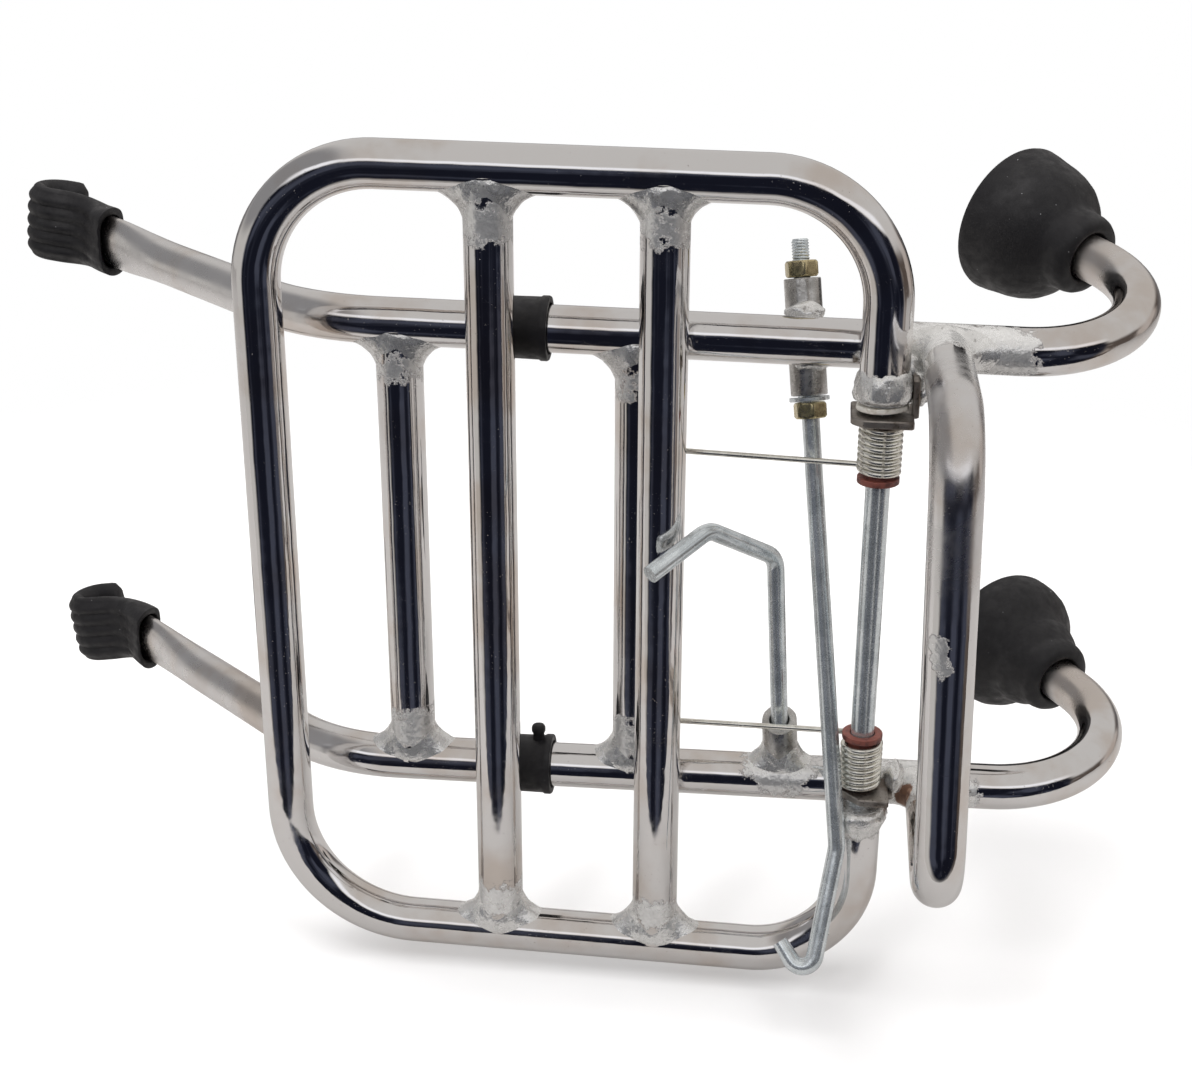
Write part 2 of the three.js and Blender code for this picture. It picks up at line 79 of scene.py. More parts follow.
def area(name, location, target, size, power):
    data = bpy.data.lights.new(name, "AREA")
    data.shape, data.size, data.size_y = "RECTANGLE", size[0], size[1]
    data.energy = power
    light = bpy.data.objects.new(name, data)
    light.location = location
    light.visible_glossy = False
    light.rotation_euler = (Vector(target) - Vector(location)).to_track_quat("-Z", "Y").to_euler()
    bpy.context.collection.objects.link(light)


# ---- node helpers -----------------------------------------------------------------------------
class Nodes:
    """A short way to write a node tree: each call makes a node and returns its first output."""

    def __init__(self, tree):
        self.tree = tree
        tree.nodes.clear()

    def put(self, kind, inputs=None, **settings):
        node = self.tree.nodes.new(kind)
        for key, value in settings.items():
            setattr(node, key, value)
        for key, value in (inputs or {}).items():
            if isinstance(value, bpy.types.NodeSocket):
                self.tree.links.new(value, node.inputs[key])
            else:
                node.inputs[key].default_value = value
        return node

    def coords(self, stretch=(1, 1, 1)):
        at = self.put("ShaderNodeTexCoord").outputs["Object"]
        return self.put("ShaderNodeMapping", {"Vector": at, "Scale": stretch}).outputs[0]

    def noise(self, scale, detail=3, rough=0.55, stretch=(1, 1, 1)):
        given = {"Vector": self.coords(stretch), "Scale": scale, "Detail": detail,
                 "Roughness": rough}
        return self.put("ShaderNodeTexNoise", given).outputs["Fac"]

    def ramp(self, fac, low, high, first=0.0, last=1.0):
        given = {"Value": fac, "From Min": low, "From Max": high, "To Min": first, "To Max": last}
        return self.put("ShaderNodeMapRange", given, interpolation_type="SMOOTHSTEP").outputs[0]

    def math(self, operation, a, b=0.0):
        return self.put("ShaderNodeMath", {0: a, 1: b}, operation=operation).outputs[0]

    def mix(self, fac, a, b):
        node = self.put("ShaderNodeMix", data_type="RGBA")
        for key, value in ((0, fac), (6, a), (7, b)):
            if isinstance(value, bpy.types.NodeSocket):
                self.tree.links.new(value, node.inputs[key])
            else:
                node.inputs[key].default_value = value
        return node.outputs[2]

    def attribute(self, name):
        return self.put("ShaderNodeAttribute", attribute_name=name).outputs["Fac"]

    def bump(self, height, strength, distance, under=None):
        given = {"Height": height, "Strength": strength, "Distance": distance}
        if under is not None:
            given["Normal"] = under
        return self.put("ShaderNodeBump", given).outputs[0]

    def surface(self, inputs):
        shader = self.put("ShaderNodeBsdfPrincipled", inputs)
        self.put("ShaderNodeOutputMaterial", {"Surface": shader.outputs[0]})


def material(name):
    made = bpy.data.materials.new(name)
    made.use_nodes = True
    return made, Nodes(made.node_tree)


def rgb(r, g, b):
    return (r, g, b, 1)


def chrome_material():
    """Bright plating: brown tints, fine scratches and pits, and rough silver near the welds."""
    made, n = material("chrome")
    brushed = n.ramp(n.noise(240, 6, 0.7), 0.34, 0.66)
    near = n.math("ADD", n.attribute("weld"), n.math("MULTIPLY", brushed, 0.6))
    weld = n.ramp(near, 0.78, 1.0)
    rust = n.ramp(n.math("ADD", n.attribute("rust"), n.noise(420, 4)), 1.0, 1.25)
    tint = n.ramp(n.noise(24, 4), 0.45, 0.66, 0, 0.8)
    pits = n.ramp(n.noise(1500, 2), 0.71, 0.77)
    patchy = n.math("MULTIPLY", pits, n.ramp(n.noise(40, 3), 0.45, 0.62))
    color = n.mix(tint, rgb(0.8, 0.79, 0.785), rgb(0.66, 0.59, 0.53))
    color = n.mix(patchy, color, rgb(0.3, 0.25, 0.21))
    color = n.mix(weld, color, n.mix(n.noise(700, 3), rgb(0.6, 0.595, 0.58), rgb(0.92, 0.915, 0.9)))
    ruddy = n.ramp(n.noise(520, 5, 0.7), 0.36, 0.66)
    color = n.mix(rust, color, n.mix(ruddy, rgb(0.07, 0.03, 0.02), rgb(0.42, 0.26, 0.18)))
    smear = n.ramp(n.noise(90, 5, 0.65), 0.4, 0.8, 0.05, 0.17)
    scratch = n.ramp(n.noise(900, 2, 0.5, (1, 1, 0.06)), 0.68, 0.76, 0, 0.12)
    rough = n.math("ADD", n.math("ADD", smear, scratch), n.math("MULTIPLY", patchy, 0.4))
    worn = n.math("MULTIPLY", n.attribute("dull"),
                  n.ramp(n.noise(60, 5, 0.65), 0.25, 0.75, 0.12, 0.34))
    rough = n.math("ADD", rough, worn)
    rough = n.math("ADD", rough, n.math("MULTIPLY", weld, 0.2))
    rough = n.math("ADD", rough, n.math("MULTIPLY", rust, 0.4))
    waves = n.bump(n.noise(55, 2), 0.12, 0.002)
    pitted = n.bump(n.math("MULTIPLY", patchy, -1.0), 0.35, 0.0003, waves)
    lumps = n.bump(n.math("MULTIPLY", n.noise(500, 4), weld), 0.5, 0.0008, pitted)
    metal = n.math("SUBTRACT", 1.0, n.math("MULTIPLY", weld, 0.32))
    metal = n.math("SUBTRACT", metal, n.math("MULTIPLY", rust, 0.5))
    n.surface({"Base Color": color, "Metallic": metal, "Roughness": rough, "Normal": lumps})
    return made


def weld_material():
    """Lumpy weld metal under silver paint, with dark pits and a little rust."""
    made, n = material("weld")
    rust = n.ramp(n.math("ADD", n.attribute("rust"), n.noise(420, 4)), 0.95, 1.2)
    dark = n.ramp(n.noise(520, 4), 0.6, 0.75, 0, 0.8)
    color = n.mix(n.noise(300, 4), rgb(0.6, 0.595, 0.58), rgb(0.93, 0.925, 0.905))
    color = n.mix(dark, color, rgb(0.2, 0.185, 0.17))
    color = n.mix(rust, color, n.mix(n.noise(900, 3), rgb(0.09, 0.045, 0.03), rgb(0.3, 0.17, 0.11)))
    rough = n.ramp(n.noise(350, 4), 0.35, 0.7, 0.14, 0.36)
    rough = n.math("ADD", rough, n.math("MULTIPLY", rust, 0.35))
    big = n.bump(n.noise(230, 3), 0.45, 0.0011)
    fine = n.bump(n.noise(900, 3), 0.45, 0.0004, big)
    metal = n.math("SUBTRACT", 0.76, n.math("MULTIPLY", rust, 0.6))
    n.surface({"Base Color": color, "Metallic": metal, "Roughness": rough, "Normal": fine})
    return made


def metal_material(name, light, dark, spot, rough, grain, wear=0.3, metal=0.94):
    """Plated steel with cloudy colour, fine grain and small dark spots."""
    made, n = material(name)
    cloud = n.ramp(n.noise(130, 4), 0.38, 0.66)
    spots = n.ramp(n.noise(1100, 3), 0.6, 0.7)
    color = n.mix(cloud, rgb(*light), rgb(*dark))
    color = n.mix(n.math("MULTIPLY", spots, wear), color, rgb(*spot))
    gloss = n.ramp(n.noise(600, 4), 0.3, 0.75, rough[0], rough[1])
    gloss = n.math("ADD", gloss, n.math("MULTIPLY", spots, 0.2))
    normal = n.bump(n.noise(grain, 3), 0.15, 0.0002)
    n.surface({"Base Color": color, "Metallic": metal, "Roughness": gloss, "Normal": normal})
    return made


def rubber_material():
    """Matte moulded rubber: dusty grain, paler scuffs and a few specks."""
    made, n = material("rubber")
    dust = n.ramp(n.noise(70, 5, 0.65), 0.48, 0.75, 0, 0.7)
    specks = n.ramp(n.noise(850, 1), 0.79, 0.82)
    color = n.mix(dust, rgb(0.010, 0.0095, 0.0105), rgb(0.028, 0.027, 0.028))
    color = n.mix(specks, color, rgb(0.4, 0.4, 0.41))
    rough = n.ramp(n.noise(260, 4), 0.3, 0.7, 0.42, 0.66)
    coarse = n.bump(n.noise(180, 3), 0.22, 0.0012)
    fine = n.bump(n.noise(2600, 3), 0.3, 0.00022, coarse)
    n.surface({"Base Color": color, "Roughness": rough, "Specular IOR Level": 0.42, "Normal": fine})
    return made


def plastic_material(name, light, dark, rough):
    """Plain moulded or pressed material, soiled in patches."""
    made, n = material(name)
    soil = n.ramp(n.noise(480, 4), 0.45, 0.72)
    color = n.mix(soil, rgb(*light), rgb(*dark))
    gloss = n.ramp(n.noise(900, 3), 0.3, 0.7, rough - 0.1, rough + 0.1)
    normal = n.bump(n.noise(1300, 3), 0.35, 0.0003)
    n.surface({"Base Color": color, "Roughness": gloss, "Normal": normal})
    return made


def floor_material():
    """A pale sheet, seen from above only, that fades out so that it has no edge. In reflections its
    colour is a painted shade, darker and warmer than the sheet itself.
    """
    made, n = material("floor")
    color = n.mix(n.noise(3, 2), rgb(0.93, 0.93, 0.93), rgb(0.9, 0.9, 0.905))
    path = n.put("ShaderNodeLightPath").outputs
    # painted shade: glossy rays see the floor as a darker, warmer grey than it is
    color = n.mix(path["Is Glossy Ray"], color, rgb(0.45, 0.435, 0.425))
    sheet = n.put("ShaderNodeBsdfPrincipled", {"Base Color": color, "Roughness": 0.85}).outputs[0]
    clear = n.put("ShaderNodeBsdfTransparent").outputs[0]
    below = n.put("ShaderNodeNewGeometry").outputs["Backfacing"]
    middle = {0: n.coords(), 1: (-0.155, 0.05, -0.2)}
    away = n.put("ShaderNodeVectorMath", middle, operation="DISTANCE").outputs["Value"]
    faded = n.math("MULTIPLY", n.ramp(away, 0.34, 0.62), path["Is Camera Ray"])
    gone = n.math("MAXIMUM", below, faded)
    both = n.put("ShaderNodeMixShader", {0: gone, 1: sheet, 2: clear}).outputs[0]
    n.put("ShaderNodeOutputMaterial", {"Surface": both})
    return made


CHROME = chrome_material()
WELD = weld_material()
SLEEVE = metal_material(
    "sleeve", (0.66, 0.65, 0.63), (0.42, 0.41, 0.39), (0.16, 0.14, 0.12), (0.22, 0.42), 420)
ZINC = metal_material(
    "zinc", (0.8, 0.85, 0.87), (0.62, 0.67, 0.69), (0.34, 0.36, 0.36), (0.16, 0.27), 300, 0.2, 0.8)
SPRING = metal_material(
    "spring", (0.92, 0.91, 0.84), (0.74, 0.72, 0.65), (0.3, 0.27, 0.22), (0.1, 0.2), 160, 0.12,
    0.93)
YELLOW = metal_material(
    "yellow_zinc", (0.66, 0.56, 0.33), (0.42, 0.37, 0.21), (0.14, 0.12, 0.08), (0.2, 0.36), 500)
PLATE = metal_material(
    "plate", (0.4, 0.37, 0.34), (0.2, 0.165, 0.14), (0.07, 0.05, 0.04), (0.34, 0.55), 500, 0.75)
STRAP = metal_material(
    "strap", (0.4, 0.39, 0.38), (0.26, 0.25, 0.24), (0.1, 0.09, 0.08), (0.35, 0.55), 500, 0.75)
RUBBER = rubber_material()
NYLON = plastic_material("nylon", (0.78, 0.75, 0.68), (0.5, 0.45, 0.37), 0.5)
FIBRE = plastic_material("fibre", (0.19, 0.06, 0.045), (0.08, 0.032, 0.028), 0.5)


# ---- shape helpers ----------------------------------------------------------------------------
ARC_STEP = 4  # degrees


def arc_stations(corner, inward, outward, radius):
    """Points and directions round one bend."""
    turn = inward.angle(outward)
    start = corner - inward * radius * math.tan(turn / 2)
    side = (outward - inward * outward.dot(inward)).normalized()
    count = max(2, math.ceil(math.degrees(turn) / ARC_STEP))
    made = []
    for i in range(count + 1):
        a = turn * i / count
        point = start + inward * radius * math.sin(a) + side * radius * (1 - math.cos(a))
        made.append((point, (inward * math.cos(a) + side * math.sin(a)).normalized()))
    return made


def bent(corners, radii=(), spacing=3.0):
    """Points and directions along straight runs joined by round bends."""
    corners = [Vector(c) for c in corners]
    ends = [(corners[0], (corners[1] - corners[0]).normalized())]
    for i, radius in enumerate(radii, 1):
        inward = (corners[i] - corners[i - 1]).normalized()
        outward = (corners[i + 1] - corners[i]).normalized()
        ends += arc_stations(corners[i], inward, outward, radius)
    ends.append((corners[-1], (corners[-1] - corners[-2]).normalized()))
    made = [ends[0]]
    for point, heading in ends[1:]:
        last, last_heading = made[-1]
        gap = (point - last).length
        if gap < 1e-6:
            continue
        pieces = max(1, round(gap / spacing))
        for k in range(1, pieces):
            made.append((last.lerp(point, k / pieces), last_heading))
        made.append((point, heading))
    return made


def frames(stations):
    """Each station with two directions across it that don't twist along the way."""
    heading = stations[0][1]
    hint = Vector((0.13, 0.31, 0.94))
    across = (hint - heading * heading.dot(hint)).normalized()
    made = []
    for point, direction in stations:
        across = (heading.rotation_difference(direction) @ across).normalized()
        across = (across - direction * direction.dot(across)).normalized()
        heading = direction
        made.append((point, across, direction.cross(across)))
    return made


def rings_to_faces(count, sides, loop=False):
    """Quads between rings of points, with a cap at each end, or closed into a loop."""
    faces = []
    for i in range(count if loop else count - 1):
        a, b = i * sides, (i + 1) % count * sides
        for k in range(sides):
            m = (k + 1) % sides
            faces.append((a + k, a + m, b + m, b + k))
    if not loop:
        faces.append(tuple(reversed(range(sides))))
        faces.append(tuple(range((count - 1) * sides, count * sides)))
    return faces


def turned_over(faces):
    return [tuple(reversed(f)) for f in faces]


def add_mesh(name, points, faces, skin, body, smooth=38):
    """One closed piece, with edges sharper than smooth degrees kept crisp."""
    mesh = bpy.data.meshes.new(name)
    mesh.from_pydata([world(p) for p in points], [], faces)
    mesh.validate()
    mesh.materials.append(skin)
    mesh.polygons.foreach_set("use_smooth", [True] * len(mesh.polygons))
    mesh.set_sharp_from_angle(angle=math.radians(smooth))
    made = bpy.data.objects.new(name, mesh)
    bpy.context.collection.objects.link(made)
    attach(made, body)
    return made


def add_skin(node, points, faces, skin, body, smooth=38):
    """One closed piece that replaces a plain one."""
    made = add_mesh(node + "_skin", points, faces, skin, body, smooth)
    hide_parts(node)
    return made


# The place and reach of each weld, rusty patch and dulled stretch, which the plating shows.
WELDS = []
RUSTY = []
DULL = []


def nearness(spots, p):
    """1 close to any of the spots, falling to 0 a little past its reach."""
    best = 0.0
    for centre, reach in spots:
        best = max(best, 1 - smoothstep(reach * 0.55, reach * 1.25, (p - centre).length))
    return best


def mark(made, points):
    """Stores how near each point is to a weld, rust and dulled plating, for the materials."""
    for name, spots in (("weld", WELDS), ("rust", RUSTY), ("dull", DULL)):
        data = made.data.attributes.new(name, "FLOAT", "POINT")
        data.data.foreach_set("value", [nearness(spots, p) for p in points])


def tube_points(stations, radius, sides):
    points = []
    for p, u, v in frames(stations):
        for k in range(sides):
            a = 2 * math.pi * k / sides
            points.append(p + u * radius * math.cos(a) + v * radius * math.sin(a))
    return points


def tube(name, stations, radius, skin, body, sides=40):
    points = tube_points(stations, radius, sides)
    faces = rings_to_faces(len(stations), sides)
    made = add_skin(name, points, faces, skin, body)
    if skin is CHROME:
        mark(made, points)


def cross_axes(axis):
    """Two directions at right angles to an axis and to each other."""
    u = axis.orthogonal().normalized()
    return u, axis.cross(u)


def turned(profile, origin, axis, sides, loop=False):
    """Rings of a profile of (radius, height) pairs turned round an axis."""
    axis = Vector(axis).normalized()
    u, v = cross_axes(axis)
    points = []
    for r, h in profile:
        for k in range(sides):
            a = 2 * math.pi * k / sides
            points.append(Vector(origin) + axis * h + u * r * math.cos(a) + v * r * math.sin(a))
    return points, rings_to_faces(len(profile), sides, loop)


def rounded(profile, amount):
    """Rounds each corner of a closed list of (radius, height) pairs a little."""
    made, steps = [], 3
    for i, here in enumerate(profile):
        before, after = profile[i - 1], profile[(i + 1) % len(profile)]
        here, before, after = Vector(here), Vector(before), Vector(after)
        a = here + (before - here).normalized() * min(amount, (before - here).length * 0.45)
        b = here + (after - here).normalized() * min(amount, (after - here).length * 0.45)
        for k in range(steps + 1):
            t = k / steps
            made.append(tuple(a.lerp(here, t).lerp(here.lerp(b, t), t)))
    return made


# ---- side tubes -------------------------------------------------------------------------------
LOW_BEND = {
    1: dict(z=-206, radius=40, deg=130.5, yaw=13.5, tail=17),
    -1: dict(z=-208.3, radius=42.5, deg=123, yaw=-6.5, tail=21),
}
TOP_BEND = {
    1: dict(z=6, radius=64, deg=43, yaw=-0.5, tail=129),
    -1: dict(z=6, radius=64, deg=43, yaw=1.8, tail=129),
}
# How the upper ends are flattened: where it is full and where it ends, from the tip, and how much.
PRESSED = dict(full=14, none=62, wider=0.28, thinner=0.4)
TUBE_SIDES = 40


def side_matrix(sign):
    """From a side tube's own frame, with its axis on Z, to the carrier's."""
    return Matrix.Translation((sign * SIDE_X, 0, 0)) @ Matrix.Rotation(sign * SPLAY, 4, "Y")


def bend(spec, sign, up):
    """The corner, end and heading of one bend, in the side tube's own frame."""
    turn = math.radians(spec["deg"])
    heading = Vector((0, math.sin(turn), up * math.cos(turn)))
    heading.rotate(Matrix.Rotation(-sign * math.radians(spec["yaw"]), 3, "Z"))
    tangent = spec["radius"] * math.tan(turn / 2)
    corner = Vector((0, 0, spec["z"] + up * tangent))
    return corner, corner + heading * (tangent + spec["tail"]), heading


def side_x(z):
    """How far out a side tube's axis is at a height."""
    return SIDE_X + z * math.tan(SPLAY)


def side_stations(sign):
    low, low_end, _ = bend(LOW_BEND[sign], sign, -1)
    top, top_end, _ = bend(TOP_BEND[sign], sign, 1)
    radii = (LOW_BEND[sign]["radius"], TOP_BEND[sign]["radius"])
    m = side_matrix(sign)
    turn = m.to_3x3()
    return [(m @ p, turn @ d) for p, d in bent((low_end, low, top, top_end), radii)]


def side_tube(sign):
    """The side tube, whose upper end is pressed flat where the hook goes on."""
    name = f"{SIDES[sign]}_side_tube"
    stations = side_stations(sign)
    points = tube_points(stations, TUBE_R, TUBE_SIDES)
    end, along = stations[-1]
    wide = (Vector((1, 0, 0)) - along * along.x).normalized()
    thin = along.cross(wide)
    for i, p in enumerate(points):
        centre = stations[i // TUBE_SIDES][0]
        flat = 1 - smoothstep(PRESSED["full"], PRESSED["none"], (end - centre).length)
        o = p - centre
        widened = wide * o.dot(wide) * PRESSED["wider"] * flat
        thinned = thin * o.dot(thin) * PRESSED["thinner"] * flat
        points[i] = p + widened - thinned
    faces = rings_to_faces(len(stations), TUBE_SIDES)
    made = add_skin(name, points, faces, CHROME, "frame")
    mark(made, points)


# ---- welds ------------------------------------------------------------------------------------
def add_weld(name, points, faces, body):
    made = add_mesh(name, points, faces, WELD, body, smooth=80)
    mark(made, points)


def across_cylinder(q, b, axis, radius):
    """How far along b the line q + t b leaves the cylinder round the axis."""
    q = q - axis * axis.dot(q)
    b = b - axis * axis.dot(b)
    half, square = q.dot(b) / b.dot(b), (q.dot(q) - radius * radius) / b.dot(b)
    return -half + math.sqrt(max(0, half * half - square))


BEAD_ROOT = 3.6  # the least that a bead keeps off the run's axis


def weld_bead(name, run, run_at, run_r, leg, leg_at, leg_r, body, width=7.5, climb=7, seed=0):
    """A hand-laid fillet where a leg meets a run: rows from the run's surface over to the leg's."""
    run, leg = Vector(run).normalized(), Vector(leg).normalized()
    run_at, leg_at = Vector(run_at), Vector(leg_at)
    u = (run - leg * run.dot(leg)).normalized()
    v = leg.cross(u)
    around, rows = 96, 10
    points = []
    for k in range(around):
        a = 2 * math.pi * k / around
        out = u * math.cos(a) + v * math.sin(a)
        base = leg_at + out * leg_r
        base += leg * math.hypot(across_cylinder(base - run_at, leg, run, run_r), BEAD_ROOT)
        normal = (base - run_at) - run * run.dot(base - run_at)
        normal.normalize()
        away = out - leg * 0.6
        away = (away - normal * away.dot(normal)).normalized()
        open_angle = 1 - normal.dot(out)
        uneven = noise.noise(Vector((2 * math.cos(a), 2 * math.sin(a), seed)))
        w = width * (0.7 + 0.3 * min(1, open_angle)) * (1 + 0.3 * uneven)
        foot = base + away * w * (0.25 + 0.75 * min(1, open_angle))
        offset = foot - run_at
        offset -= run * run.dot(offset)
        foot += offset.normalized() * (run_r - 0.2 - offset.length)
        head = base + leg * climb * w / width - out * 0.2
        middle = base + (normal + out).normalized() * (0.6 + w * 0.1 * open_angle)
        for j in range(rows):
            t = j / (rows - 1)
            p = foot.lerp(middle, t).lerp(middle.lerp(head, t), t)
            ripple = noise.noise(p * 0.2 + Vector((seed, 0, 0))) + 0.4 * noise.noise(p * 0.55)
            height = 0.25 + 0.45 * ripple
            points.append(p + (normal + out).normalized() * math.sin(math.pi * t) * height)
        for j in range(2):
            points.append(base - out * 1.5 - normal * (1.0 + 0.5 * j))
    faces = turned_over(rings_to_faces(around, rows + 2, loop=True))
    add_weld(name, points, faces, body)


def weld_lump(name, centre, radii, seed):
    """A rounded lump of weld metal on the frame, pressed into the pieces that it joins."""
    points, rings, sides = [], 22, 36
    for i in range(rings):
        b = math.pi * (i + 0.5) / rings
        for k in range(sides):
            a = 2 * math.pi * k / sides
            d = Vector((math.sin(b) * math.cos(a), math.sin(b) * math.sin(a), math.cos(b)))
            bumps = noise.noise(d * 1.6 + Vector((seed, seed, 0))) + 0.3 * noise.noise(d * 4)
            lump = 1 + 0.22 * bumps
            points.append(Vector(centre) + Vector([d[j] * radii[j] * lump for j in range(3)]))
    add_weld(name, points, turned_over(rings_to_faces(rings, sides)), "frame")


def weld_collar(name, centre, axis, profile, body, seed):
    """A ring of weld metal round a tube's end."""
    points, faces = turned(profile, centre, axis, 56)
    axis = Vector(axis)
    for i, p in enumerate(points):
        out = (p - centre) - axis * axis.dot(p - centre)
        if out.length > 7:
            bumps = noise.noise(p * 0.3 + Vector((seed, 0, 0))) + 0.5 * noise.noise(p * 0.8)
            points[i] = p + out.normalized() * bumps * 0.9 + axis * bumps * 0.4
    add_weld(name, points, faces, body)


# ---- hooks ------------------------------------------------------------------------------------
HOOK_RISE, HOOK_CURL, HOOK_FLAP, HOOK_LEAN, HOOK_KNEE = 16, 8.5, 4, 7, 20
BOOT_FRONT, BOOT_BACK = 64, 26  # points round its ribbed front and its plain back
BOOT_START = -10
BOOT_MOUTH = [  # depth, half width, thickness, ribs
    (11, 8.5, 4, 0), (10.6, 10.8, 5.2, 0), (1, 10.3, 5.5, 0), (-0.4, 10.6, 5.8, 0),
    (-0.8, 11.6, 6.6, 0), (-0.4, 12.7, 7.3, 0.1),
]
TOP_HEADING = Vector((0, math.sin(math.radians(43)), math.cos(math.radians(43))))


def hook_matrix(sign, share):
    """From the hook's frame at the tube's end to the carrier's, with a share of its lean."""
    _, end, _ = bend(TOP_BEND[sign], sign, 1)
    yaw = Matrix.Rotation(-sign * math.radians(TOP_BEND[sign]["yaw"]), 4, "Z")
    lean = Matrix.Rotation(sign * math.radians(HOOK_LEAN) * share, 4, "Y")
    return side_matrix(sign) @ Matrix.Translation(end) @ yaw @ lean


def hook_stations(start, tip):
    """The hook's middle line, from start along the tube to a tip that is this much longer."""
    knee = TOP_HEADING * 9
    top = knee.z + HOOK_RISE + HOOK_CURL
    back = knee.y + 2 * HOOK_CURL
    corners = [
        TOP_HEADING * start,
        knee,
        Vector((0, knee.y, top)),
        Vector((0, back, top)),
        Vector((0, back, top - HOOK_CURL - HOOK_FLAP - tip)),
    ]
    return bent(corners, (HOOK_KNEE, HOOK_CURL - 0.01, HOOK_CURL - 0.01), 2)


def boot_section(half_width, thick, ribs):
    """A rounded outline: x across the boot, y out to its ribbed front and plain back."""
    points = []
    for count, way in ((BOOT_FRONT, 1), (BOOT_BACK, -1)):
        for k in range(count):
            u = way * math.cos(math.pi * (k + 0.5) / count)
            x = half_width * u
            y = way * thick * (1 - abs(u) ** 5) ** 0.5
            if way > 0:
                y += ribs * (abs(math.cos(math.pi * x / 5.2)) - 0.65) * min(1, 4 * (1 - abs(u)))
            points.append((x, y))
    return points


def hook_boot(sign):
    """A ribbed boot with a scooped mouth. The first rings are the mouth's inside and lip."""
    stations = hook_stations(BOOT_START, 3)
    length = [0.0]
    for (a, _), (b, _) in zip(stations, stations[1:]):
        length.append(length[-1] + (b - a).length)
    points = []

    def ring(place, heading, half_width, thick, ribs, s):
        m = hook_matrix(sign, smoothstep(BOOT_START, 9, s))
        out = Vector((1, 0, 0)).cross(heading)
        near = 1 - smoothstep(-9, 6, s)
        for x, y in boot_section(half_width, thick, ribs):
            scoop = near * (2.2 * (x / 13) ** 2 + 3.4 * max(-1, min(1, y / 7)) - 1.4)
            points.append(m @ (place + Vector((x, 0, 0)) + out * y - heading * scoop))

    first, heading = stations[0]
    for depth, wide, thick, ribs in BOOT_MOUTH:
        ring(first + heading * depth, heading, wide, thick, ribs, BOOT_START + depth)
    for (place, heading), s in zip(stations, length):
        wide = 13.3 + 1.3 * smoothstep(10, 30, s)
        thick = 4.05 + 3.4 * (1 - smoothstep(0, 27, s))
        left = length[-1] - s
        if left < 2.5:
            wide -= 2.5 * (1 - left / 2.5) ** 2
            thick -= 0.9 * (1 - left / 2.5) ** 2
        ring(place, heading, wide, thick, 0.3 + 0.8 * smoothstep(2, 16, s), s + BOOT_START)
    place, heading = stations[-1]
    ring(place + heading * 0.45, heading, 10.5, 2.2, 0, 50)
    around = BOOT_FRONT + BOOT_BACK
    faces = turned_over(rings_to_faces(len(points) // around, around))
    name = f"{SIDES[sign]}_hook_boot"
    add_skin(name, points, faces, RUBBER, "frame", 50)


def hook_strap(sign):
    """The flat steel strap inside the boot."""
    m = hook_matrix(sign, 1)
    outline = [(-11, -1.2), (-10.7, -1.5), (10.7, -1.5), (11, -1.2),
               (11, 1.2), (10.7, 1.5), (-10.7, 1.5), (-11, 1.2)]
    points = []
    for place, heading in hook_stations(2.2, 0):
        out = Vector((1, 0, 0)).cross(heading)
        points += [m @ (place + Vector((x, 0, 0)) + out * y) for x, y in outline]
    faces = turned_over(rings_to_faces(len(points) // len(outline), len(outline)))
    name = f"{SIDES[sign]}_hook_strap"
    add_skin(name, points, faces, STRAP, "frame")


# ---- suction cups -----------------------------------------------------------------------------
CUP_LIP = [(8.6, 12.5), (8.6, 3.4), (8.8, 1.6), (9.1, 0.6), (9.6, 0.15), (10.6, 0), (12, 0.35),
           (13.3, 1.3), (14.1, 2.7), (14.5, 4.4), (14.7, 7.6)]
CUP_BELL = {
    1: [(14.9, 9.4), (16, 11.2), (18.4, 13.2), (21, 15.8), (23.1, 18.8), (24.5, 22.4), (25.4, 26),
        (25.9, 29.6), (26.4, 32.8), (26.8, 35)],
    -1: [(15.8, 9.4), (17.1, 12), (18, 14.4), (18.2, 15.8), (18.4, 17.2), (19.6, 19.4), (22, 21.8),
         (24.6, 24.8), (26.4, 28.4), (27.1, 32), (27.2, 35)],
}
CUP_RIM = [(26.9, 36.6), (27.1, 37.8), (26.8, 38.7), (26, 39), (25, 38.8), (24, 37.6), (21.8, 33.5),
           (19.4, 28.5), (16.4, 23), (12, 19.6), (6, 17.8), (0.4, 17.4)]
CUP_OVERLAP = 12.7  # how far the tube goes into the cup


def suction_cup(sign):
    """A hollow cup, turned: the neck's bore and lip, the bell, then the rim and the hollow."""
    _, end, heading = bend(LOW_BEND[sign], sign, -1)
    m = side_matrix(sign)
    origin = m @ (end - heading * CUP_OVERLAP)
    points, faces = turned(CUP_LIP + CUP_BELL[sign] + CUP_RIM, origin, m.to_3x3() @ heading, 72)
    name = f"{SIDES[sign]}_suction_cup"
    add_skin(name, points, faces, RUBBER, "frame", 50)


# ---- buffers ----------------------------------------------------------------------------------
BAND = [(-51.5, 8.7), (-51.5, 10.6), (-51, 10.9), (-49, 10.9), (-48.4, 10.5), (-41, 10.4),
        (-34, 10.4), (-33.4, 10.8), (-31.4, 10.9), (-31, 10.6), (-31, 8.7)]
BAND_FLAT = -10.6  # the front of the band, which the rack bears on


def buffer_band(sign):
    m = side_matrix(sign)
    sides = 72
    points = []
    for z, r in BAND:
        for k in range(sides):
            a = 2 * math.pi * k / sides
            x, y = r * math.cos(a), r * math.sin(a)
            wobble = 0.18 * noise.noise(Vector((x * 0.25, y * 0.25, z * 0.3)))
            y = max(y, BAND_FLAT)
            points.append(m @ Vector((x * (1 + wobble * 0.03), y + (wobble if y > -10 else 0), z)))
    faces = rings_to_faces(len(BAND), sides, loop=True)
    name = f"{SIDES[sign]}_rack_buffer"
    add_skin(name, points, faces, RUBBER, "frame", 40)


